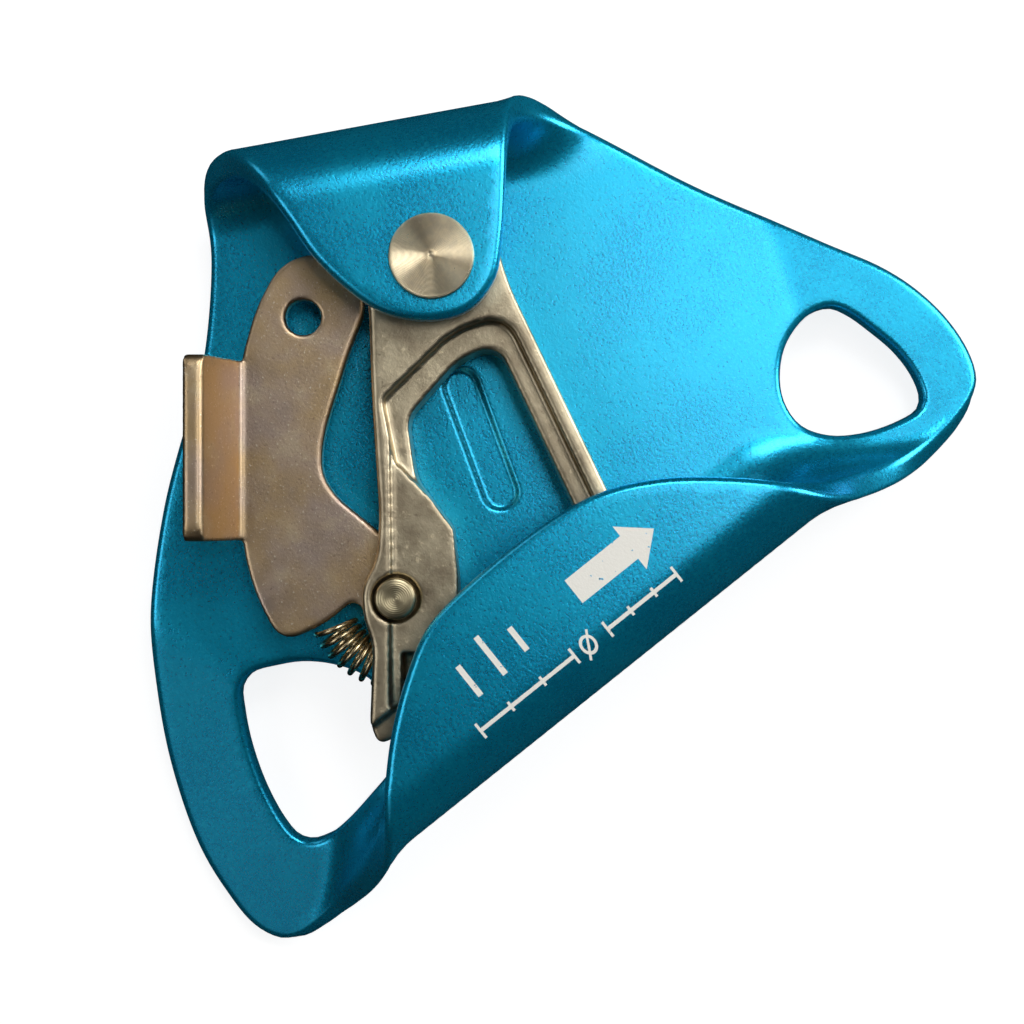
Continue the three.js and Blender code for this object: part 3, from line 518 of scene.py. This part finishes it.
class Shader:
    """A material's node tree, filled by calls."""

    def __init__(self, name):
        self.material = bpy.data.materials.new(name)
        self.material.use_nodes = True
        self.tree = self.material.node_tree
        self.tree.nodes.clear()

    def node(self, kind, settings=None, inputs=None, output=0):
        """Adds any node: its settings are set first, then the values or links of its sockets."""
        made = self.tree.nodes.new(kind)
        for key, value in (settings or {}).items():
            setattr(made, key, value)
        pairs = inputs.items() if isinstance(inputs, dict) else enumerate(inputs or [])
        for key, value in pairs:
            socket = made.inputs[key]
            if isinstance(value, Wave):
                self.tree.links.new(value.socket, socket)
            else:
                socket.default_value = value
        return Wave(self, made.outputs[output]) if made.outputs else None

    def here(self):
        """Object coordinates in metres."""
        return self.node("ShaderNodeTexCoord", output="Object")

    def attribute(self, name):
        return self.node("ShaderNodeAttribute", {"attribute_name": name}, output="Vector")

    def parts(self, vector):
        """The x, y and z of a vector."""
        made = self.node("ShaderNodeSeparateXYZ", None, [vector]).socket.node
        return [Wave(self, out) for out in made.outputs]

    def noise(self, vector, scale, detail, roughness):
        inputs = {"Vector": vector, "Scale": scale, "Detail": detail, "Roughness": roughness}
        return self.node("ShaderNodeTexNoise", None, inputs, "Fac")

    def mix(self, factor, a, b):
        """A blend of two colours."""
        inputs = {"Factor": factor, 6: a, 7: b}
        return self.node("ShaderNodeMix", {"data_type": "RGBA"}, inputs, 2)

    def bump(self, height, distance, strength):
        inputs = {"Height": height, "Distance": distance, "Strength": strength}
        return self.node("ShaderNodeBump", None, inputs, "Normal")

    def principled(self, **inputs):
        named = {key.replace("_", " "): value for key, value in inputs.items()}
        return self.node("ShaderNodeBsdfPrincipled", None, named, "BSDF")

    def finish(self, surface):
        self.node("ShaderNodeOutputMaterial", None, {"Surface": surface})
        return self.material


# ---- materials ----
BLANK_UNIT = 100  # the "blank" attribute holds millimetres on the flat sheet over this number
MARKS_SHIFT = 3.6
LINE_U = 45.0
LINE_HALF = 0.2
TICKS = (
    (0.2, 1.0), (4.3, 0.6), (8.4, 0.6), (12.4, 1.0),
    (-5.7, 1.0), (-11.3, 0.6), (-16.9, 0.6), (-22.3, 1.0),
)
BARS = ((51.4, -10.3, 2.0), (52.0, -14.7, 3.3), (51.1, -19.2, 2.6))


def anodised_material():
    """Blue anodised plate over blasted metal, with white printed marks on the front flap."""
    s = Shader("blue_anodised")
    here = s.here()
    grain = s.noise(here, 2600, 3, 0.6)
    speckle = s.noise(here, 1900, 2, 0.7)
    cloud = s.noise(here, 70, 3, 0.55)
    blue = s.mix(cloud.ramp(0.3, 0.7), (0.001, 0.38, 0.66, 1), (0.003, 0.46, 0.74, 1))
    blue = s.mix(speckle.ramp(0.52, 0.72) * 0.35, blue, (0.03, 0.66, 0.88, 1))
    blue = s.mix(speckle.ramp(0.48, 0.28) * 0.30, blue, (0.001, 0.20, 0.42, 1))
    rough = 0.20 + cloud * 0.06 + speckle * 0.10
    bumps = s.bump(grain * 0.65 + speckle * 0.35, 0.0001, 0.5)
    metal = s.principled(
        Base_Color=blue, Metallic=0.8, Roughness=rough, Normal=bumps,
        Coat_Weight=0.4, Coat_Roughness=0.2, Coat_IOR=1.5,
    )
    paint = s.principled(Base_Color=(1, 0.98, 0.90, 1), Roughness=0.55, Normal=bumps)
    u, v, depth = (part * BLANK_UNIT for part in s.parts(s.attribute("blank")))
    worn = s.noise(here, 900, 3, 0.7).above(0.33)
    marks = printed_marks(u + MARKS_SHIFT, v) * depth.below(1.5) * worn
    surface = s.node("ShaderNodeMixShader", None, [marks, metal, paint])
    return s.finish(surface)


def box_mask(u, v, cu, cv, hu, hv):
    """1 inside a rectangle with the given centre and half sizes."""
    return (abs(u - cu) - hu).most(abs(v - cv) - hv).below(0)


def printed_marks(u, v):
    """An arrow up the rope, a crossed ring for a diameter, a scale with ticks, and three short bars."""
    arrow = box_mask(u, v, 51.7, 4.7, 2.0, 4.95)
    head = (abs(u - 51.6) - (13.9 - v) * 0.88).below(0) * v.above(9.6)
    du, dv = u - LINE_U, v + 3.2
    ring = (abs((du * du + dv * dv) ** 0.5 - 1.0) - 0.2).below(0)
    slash = box_mask(du * 0.82 + dv * 0.57, du * -0.57 + dv * 0.82, 0, 0, 1.9, 0.17)
    marks = [arrow, head, ring, slash]
    marks += [box_mask(u, v, LINE_U, middle, 0.22, half) for middle, half in ((6.3, 6.2), (-14.0, 8.4))]
    marks += [box_mask(u, v, LINE_U, at, tall, LINE_HALF) for at, tall in TICKS]
    marks += [box_mask(u, v, cu, cv, long, 0.42) for cu, cv, long in BARS]
    total = marks[0]
    for mark in marks[1:]:
        total = total.most(mark)
    return total


def cast_material():
    """Cast steel with a thin yellow zinc plating: mottled grey-brown, rough and lightly pitted."""
    s = Shader("cast_zinc_steel")
    here = s.here()
    cloud = s.noise(here, 160, 4, 0.6)
    spots = s.noise(here, 900, 3, 0.65)
    grain = s.noise(here, 3200, 2, 0.6)
    colour = s.mix(cloud.ramp(0.3, 0.72), (0.34, 0.28, 0.19, 1), (0.60, 0.52, 0.36, 1))
    colour = s.mix(spots.ramp(0.60, 0.72) * 0.5, colour, (0.86, 0.74, 0.50, 1))
    colour = s.mix(spots.ramp(0.36, 0.24) * 0.6, colour, (0.16, 0.12, 0.09, 1))
    rough = 0.28 + spots * 0.18
    bumps = s.bump(spots * 0.7 + grain * 0.3, 0.0001, 0.5)
    return s.finish(s.principled(Base_Color=colour, Metallic=1.0, Roughness=rough, Normal=bumps))


def plated_material():
    """Yellow zinc plated sheet: brownish gold with rose and violet patches and fine bright specks."""
    s = Shader("zinc_plated_sheet")
    here = s.here()
    cloud = s.noise(here, 90, 3, 0.55)
    patch = s.noise(here, 240, 3, 0.6)
    specks = s.noise(here, 2400, 2, 0.7)
    colour = s.mix(cloud.ramp(0.35, 0.7), (0.56, 0.40, 0.22, 1), (0.50, 0.39, 0.32, 1))
    colour = s.mix(patch.ramp(0.5, 0.75) * 0.5, colour, (0.62, 0.52, 0.34, 1))
    colour = s.mix(specks.ramp(0.62, 0.74) * 0.7, colour, (0.95, 0.90, 0.74, 1))
    colour = s.mix(specks.ramp(0.38, 0.28) * 0.5, colour, (0.20, 0.13, 0.12, 1))
    rough = 0.30 + patch * 0.14
    bumps = s.bump(specks * 0.6 + patch * 0.4, 0.00008, 0.5)
    return s.finish(s.principled(Base_Color=colour, Metallic=1.0, Roughness=rough, Normal=bumps))


def turned_material(name, centre, colour, pitch, depth):
    """Turned metal: fine rings round an axis, with a soft brightness change."""
    s = Shader(name)
    here = s.here()
    x, y, _ = s.parts(here)
    du, dv = x - float(centre[0]), y - float(centre[1])
    radius = (du * du + dv * dv) ** 0.5
    rings = (radius * (2 * math.pi / (pitch * 1e-3))).sine()
    broad = s.noise(here, 700, 3, 0.6)
    tint = s.mix(broad.ramp(0.3, 0.7), colour, tuple(0.82 * c for c in colour[:3]) + (1,))
    bumps = s.bump(rings + broad * 0.6, depth * 1e-3, 1.0)
    return s.finish(s.principled(Base_Color=tint, Metallic=1.0, Roughness=0.24 + broad * 0.12, Normal=bumps))


def plain_metal(name, colour, roughness):
    """Drawn or rolled metal with faint streaks."""
    s = Shader(name)
    here = s.here()
    streaks = s.noise(here, 1200, 3, 0.6)
    tint = s.mix(streaks.ramp(0.3, 0.7), colour, tuple(0.7 * c for c in colour[:3]) + (1,))
    bumps = s.bump(streaks, 0.00003, 0.5)
    surface = s.principled(Base_Color=tint, Metallic=1.0, Roughness=roughness + streaks * 0.12, Normal=bumps)
    return s.finish(surface)


# ---- the pieces ----
anodised = anodised_material()
cast = cast_material()
plated = plated_material()
axle_steel = turned_material("turned_axle", PIVOT_M, (0.95, 0.80, 0.54, 1), 0.16, 0.03)
pin_steel = turned_material("worn_pin", JOINTS["lever_pivot"]["pos_m"], (0.50, 0.43, 0.27, 1), 0.3, 0.01)
washer_steel = plain_metal("washer_steel", (0.66, 0.64, 0.60, 1), 0.3)
bushing_brass = plain_metal("bushing_brass", (0.72, 0.50, 0.20, 1), 0.3)
spring_wire = plain_metal("plated_wire", (0.74, 0.60, 0.36, 1), 0.2)

points, faces, blank = frame_mesh()
flat_places = {"blank": blank / BLANK_UNIT}
make_piece("bent_plate", points, faces, anodised, "frame_body", "anodised_plate", "frame", flat_places)

SKIN = 0.3
cam_skin = cast_copy("cam", SKIN, 5)
add_piece("cam_casting", cam_skin, cast, "cam_body", "cam")
lever_skin = cast_copy("catch_lever", SKIN, 3)
add_piece("lever_sheet", lever_skin, plated, "lever_body", "catch_lever")

AXLE = [
    (0, -2.6), (2.4, -2.6), (3.6, -2.5), (4.6, -2.2), (5.1, -1.8), (5.2, -1.5), (5.1, -1.3), (3.5, -1.3),
    (3.5, 23.2), (5.6, 23.2), (5.85, 23.3), (5.95, 23.5), (5.9, 23.75), (5.7, 23.92), (5.3, 24.02),
    (4.0, 24.3), (2.6, 24.6), (1.2, 24.9), (0.75, 24.96), (0.6, 25.05), (0.45, 25.2), (0.2, 25.22),
    (0, 25.22),
]
make_piece("axle_rivet", *turned(AXLE, WEB_PIVOT), axle_steel, "frame_body", "turned_steel", "cam_axle")
PIN = [
    (0, 4.3), (2.2, 4.3), (2.6, 4.5), (2.7, 4.8), (2.6, 5.1), (2, 5.1), (2, 16.4), (2.7, 16.4),
    (2.9, 16.6), (2.95, 17.0), (2.95, 18.0), (2.85, 18.3), (2.6, 18.45), (1.6, 18.5), (1.35, 18.46),
    (0.6, 18.46), (0, 18.46),
]
make_piece("catch_rivet", *turned(PIN, CATCH, 64), pin_steel, "cam_body", "pin_steel", "catch_pin")
RING_EDGE = 0.12
RINGS = (
    ("rear_washer", (6.4, -1.05, -0.25), "axle_washer", washer_steel, "turned_steel"),
    ("hub_washer_rear", (8.2, 4.3, 5.1), "cam_washer_rear", washer_steel, "turned_steel"),
    ("hub_washer_front", (8.2, 17.8, 18.7), "cam_washer_front", washer_steel, "turned_steel"),
    ("pivot_sleeve", (4.6, 5.35, 17.55), "cam_bushing", bushing_brass, "bushing_brass"),
)
for name, sizes, node, material, slot in RINGS:
    ring = hollow_turned(washer_profile(AXLE_HOLE_R, *sizes, RING_EDGE), WEB_PIVOT)
    make_piece(name, *ring, material, "frame_body", slot, node)

catch_coil = coil_on_arc(
    CATCH, z=sum(LEVER_Z) / 2, major=10.2, minor=3.0, start=256, end=309, turns=6.5, steps=420
)
make_piece("lever_coil", *wire(*catch_coil, 0.4), spring_wire, "cam_body", "spring_wire", "catch_spring")
closing_coil = flat_coil(WEB_PIVOT, radius=7.3, low=6.3, high=8.8, turns=2.25, steps=200)
make_piece("cam_coil", *wire(*closing_coil, 0.5), spring_wire, "frame_body", "spring_wire", "cam_spring")

# ---- floor, light and camera ----
CENTRE = place([0, 0, 0])
RIGHT = np.array([0.625, 0.781, 0])
UP = np.array([-0.781, 0.625, 0])
FRONT = np.array([0, 0, 1.0])
FLOOR_HALF = 2.5
CAMERA_HEIGHT = 0.264
LENS_MM = 61.2421875


def backdrop():
    """A plain pale floor that polished metal doesn't mirror."""
    s = Shader("pale_floor")
    soft = s.noise(s.here(), 3, 2, 0.5)
    colour = s.mix(soft, (0.30, 0.30, 0.30, 1), (0.32, 0.32, 0.32, 1))
    glow = {"Emission_Color": (1, 1, 1, 1), "Emission_Strength": 0.85}
    surface = s.principled(Base_Color=colour, Roughness=0.9, **glow)
    mesh = bpy.data.meshes.new("floor")
    corners = [(FLOOR_HALF * x, FLOOR_HALF * y, 0) for x, y in ((-1, -1), (1, -1), (1, 1), (-1, 1))]
    mesh.from_pydata(corners, [], [(0, 1, 2, 3)])
    mesh.materials.append(s.finish(surface))
    floor = bpy.data.objects.new("floor", mesh)
    floor.visible_glossy = False
    bpy.context.scene.collection.objects.link(floor)


def soft_box(name, right, up, front, size, radiance):
    """An area light placed by distances in metres along the view's axes, and turned to the object."""
    data = bpy.data.lights.new(name, "AREA")
    data.shape = "RECTANGLE"
    data.size, data.size_y = size
    data.energy = radiance * math.pi * size[0] * size[1]
    light = bpy.data.objects.new(name, data)
    spot = CENTRE + right * RIGHT + up * UP + front * FRONT
    light.location = spot
    light.rotation_euler = Vector(CENTRE - spot).to_track_quat("-Z", "Y").to_euler()
    bpy.context.scene.collection.objects.link(light)


backdrop()
soft_box("right_box", 0.85, 0.35, 0.38, (0.6, 0.6), 6.0)
soft_box("right_high_box", 0.55, 0.24, 0.80, (0.35, 0.35), 1.2)
soft_box("top_box", 0.12, 0.57, 0.81, (0.42, 0.30), 7.5)
soft_box("near_box", 0.22, 0.15, 0.94, (0.34, 0.34), 3.1)
soft_box("left_box", -0.60, -0.05, 0.75, (0.40, 0.40), 2.2)
soft_box("upper_left_box", -0.60, 0.60, 0.36, (0.4, 0.4), 1.2)
soft_box("low_left_box", -0.50, -0.55, 0.70, (0.45, 0.45), 0.3)

world = bpy.data.worlds.new("studio")
world.use_nodes = True
sky = world.node_tree.nodes["Background"].inputs
sky["Color"].default_value = (1, 1, 1, 1)
sky["Strength"].default_value = 0.9
# Only the camera sees this pale sky.
world.cycles_visibility.glossy = False
world.cycles_visibility.diffuse = False
bpy.context.scene.world = world
bpy.context.scene.view_settings.view_transform = "Standard"

camera_data = bpy.data.cameras.new("camera")
camera_data.sensor_width = 36
camera_data.lens = LENS_MM
camera_data.clip_start = 0.01
camera = bpy.data.objects.new("camera", camera_data)
camera.location = CENTRE + CAMERA_HEIGHT * FRONT
camera.rotation_euler = (0, 0, math.atan2(RIGHT[1], RIGHT[0]))
bpy.context.scene.collection.objects.link(camera)
bpy.context.scene.camera = camera
